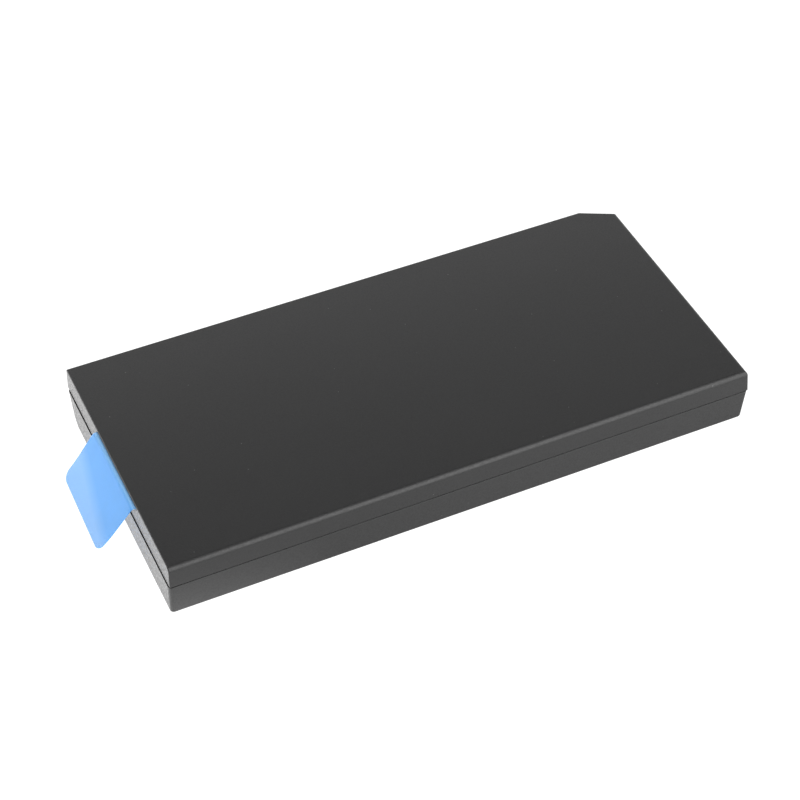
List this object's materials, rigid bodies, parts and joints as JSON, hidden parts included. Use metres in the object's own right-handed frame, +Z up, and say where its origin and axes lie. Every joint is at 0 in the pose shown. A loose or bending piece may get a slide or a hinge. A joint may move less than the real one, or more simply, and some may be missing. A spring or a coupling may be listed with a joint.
{
  "type": "removable battery pack",
  "caption": "Flat oblong two-shell battery pack with one clipped corner, a film pull tab at one end and a recessed blade socket at the other.",
  "frame": {"origin": "centre of the case's footprint at the seam, on the base plane", "axes": "+X along the length, from the pull-tab end to the leading end with the socket; +Y across the width to the clipped-corner side; +Z up, normal to the roof"},
  "size_m": [0.2159, 0.0956, 0.0203],
  "materials": {
    "case_plastic": "moulded polycarbonate blend with a fine spark-eroded texture",
    "tab_film": "translucent blue polyester film",
    "label_film": "blank matt silver label film",
    "can_steel": "nickel-plated drawn steel",
    "wound_electrode": "wound coated foil",
    "gasket_plastic": "natural polypropylene",
    "nickel": "plain nickel",
    "washer_paper": "white insulating board",
    "sleeve_film": "shrunk film",
    "insulating_paper": "vulcanised fibre paper",
    "adhesive": "set silicone bead",
    "foam": "closed-cell foam",
    "board_laminate": "solder mask over glass laminate",
    "socket_plastic": "glass-filled nylon",
    "contact_alloy": "flash-gold contact alloy",
    "chip_plastic": "moulded epoxy",
    "ceramic": "glazed ceramic body",
    "ceramic_brown": "sintered ceramic",
    "thermistor_bead": "epoxy bead",
    "wire_red": "enamelled lead wire",
    "solder": "tin solder"
  },
  "bodies": {
    "pack": {"upper_cover": "case_plastic", "lower_case": "case_plastic", "pull_tab_anchor": "tab_film", "rating_label": "label_film", "cell_can_01": "can_steel", "cell_can_02": "can_steel", "cell_can_03": "can_steel", "cell_can_04": "can_steel", "cell_can_05": "can_steel", "cell_can_06": "can_steel", "cell_can_07": "can_steel", "cell_can_08": "can_steel", "cell_can_09": "can_steel", "cell_can_10": "can_steel", "cell_can_11": "can_steel", "cell_can_12": "can_steel", "jelly_rolls": "wound_electrode", "cell_gaskets": "gasket_plastic", "cell_caps": "nickel", "cell_washers": "washer_paper", "cell_sleeves": "sleeve_film", "negative_strip": "nickel", "series_strip_1": "nickel", "series_strip_2": "nickel", "positive_strip": "nickel", "strip_insulators": "insulating_paper", "left_end_insulator": "insulating_paper", "right_end_insulator": "insulating_paper", "board_barrier": "insulating_paper", "glue_beads": "adhesive", "foam_block": "foam", "circuit_board": "board_laminate", "socket_housing": "socket_plastic", "socket_contacts": "contact_alloy", "gauge_chip": "chip_plastic", "gauge_chip_leads": "nickel", "power_mosfets": "chip_plastic", "mosfet_leads": "nickel", "sense_resistor": "chip_plastic", "chemical_fuse": "ceramic", "ceramic_capacitors": "ceramic_brown", "chip_resistors": "chip_plastic", "negative_lead": "nickel", "positive_lead": "nickel", "thermal_cutoff": "ceramic", "thermistor": "thermistor_bead", "thermistor_leads": "wire_red", "solder_joints": "solder"},
    "pull_tab": {"pull_tab": "tab_film"}
  },
  "joints": [
    {"name": "pull_tab_fold", "type": "hinge", "parent": "pack", "child": "pull_tab", "pos_m": [-0.1029, -0.00095, 0.0191], "axis": [0, 1, 0], "range_deg": [-33, 137], "stiffness_Nm_per_rad": 0.002}
  ]
}
